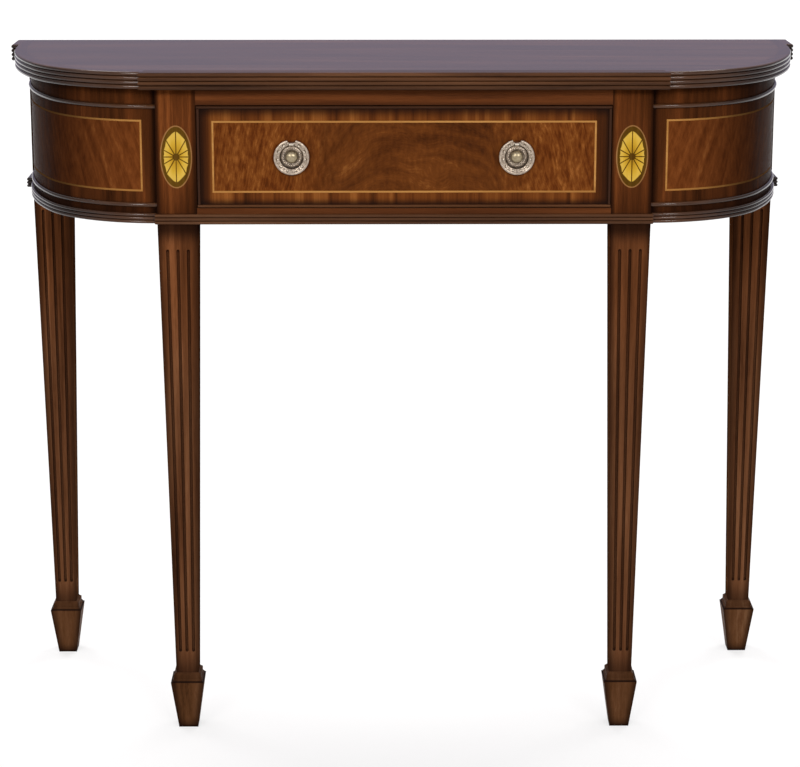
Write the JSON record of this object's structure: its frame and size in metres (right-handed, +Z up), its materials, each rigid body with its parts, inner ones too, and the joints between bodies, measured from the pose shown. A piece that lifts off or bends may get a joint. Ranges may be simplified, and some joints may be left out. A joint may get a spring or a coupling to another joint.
{
  "type": "demilune side table",
  "caption": "Console table with rounded ends, reeded top edge, inlaid frieze with a sliding drawer on ring pulls, and tapered fluted legs on spade feet.",
  "frame": {"origin": "on the floor, under the middle of the table's bounding box", "axes": "+X to the right seen from the front, +Y towards the wall, +Z up"},
  "size_m": [0.924, 0.318, 0.762],
  "materials": {
    "mahogany": "gloss lacquer over stain",
    "boxwood": "gloss lacquer",
    "satinwood": "gloss lacquer",
    "dark_inlay": "gloss lacquer",
    "lining_wood": "bare, sanded",
    "pull_metal": "antique silvered brass",
    "steel": "plain zinc"
  },
  "bodies": {
    "table": {"back_apron": "mahogany", "base_moulding_front": "mahogany", "drawer_stops": "lining_wood", "foot_dowels": "lining_wood", "front_left_foot": "mahogany", "front_left_leg": "mahogany", "front_right_foot": "mahogany", "front_right_leg": "mahogany", "glue_blocks": "lining_wood", "left_base_moulding": "mahogany", "left_drawer_kicker": "lining_wood", "left_drawer_runner": "lining_wood", "left_end_apron": "mahogany", "left_end_stringing": "boxwood", "left_fan_border": "boxwood", "left_fan_ground": "dark_inlay", "left_fan_petals": "satinwood", "left_lower_bead": "mahogany", "left_rear_base_moulding": "mahogany", "left_top_ear": "mahogany", "left_top_edge": "mahogany", "left_upper_bead": "mahogany", "lower_front_rail": "mahogany", "rear_left_foot": "mahogany", "rear_left_leg": "mahogany", "rear_right_foot": "mahogany", "rear_right_leg": "mahogany", "right_base_moulding": "mahogany", "right_drawer_kicker": "lining_wood", "right_drawer_runner": "lining_wood", "right_end_apron": "mahogany", "right_end_stringing": "boxwood", "right_fan_border": "boxwood", "right_fan_ground": "dark_inlay", "right_fan_petals": "satinwood", "right_lower_bead": "mahogany", "right_rear_base_moulding": "mahogany", "right_top_ear": "mahogany", "right_top_edge": "mahogany", "right_upper_bead": "mahogany", "top_board": "mahogany", "top_edge_front": "mahogany", "top_screws": "steel", "upper_front_rail": "mahogany"},
    "drawer": {"drawer_back": "lining_wood", "drawer_bottom": "lining_wood", "drawer_front": "mahogany", "drawer_stringing": "boxwood", "left_cockbead": "mahogany", "left_drawer_side": "lining_wood", "left_pull_plate": "pull_metal", "lower_cockbead": "mahogany", "pull_nuts": "steel", "right_cockbead": "mahogany", "right_drawer_side": "lining_wood", "right_pull_plate": "pull_metal", "upper_cockbead": "mahogany"},
    "left_ring": {"left_pull_ring": "pull_metal"},
    "right_ring": {"right_pull_ring": "pull_metal"}
  },
  "joints": [
    {"name": "drawer_slide", "type": "slide", "parent": "table", "child": "drawer", "axis": [0, -1, 0], "range_m": [0, 0.19]},
    {"name": "left_ring_swing", "type": "hinge", "parent": "drawer", "child": "left_ring", "pos_m": [-0.1229, -0.1449, 0.68345], "axis": [-1, 0, 0], "range_deg": [0, 95]},
    {"name": "right_ring_swing", "type": "hinge", "parent": "drawer", "child": "right_ring", "pos_m": [0.1229, -0.1449, 0.68345], "axis": [-1, 0, 0], "range_deg": [0, 95]}
  ]
}
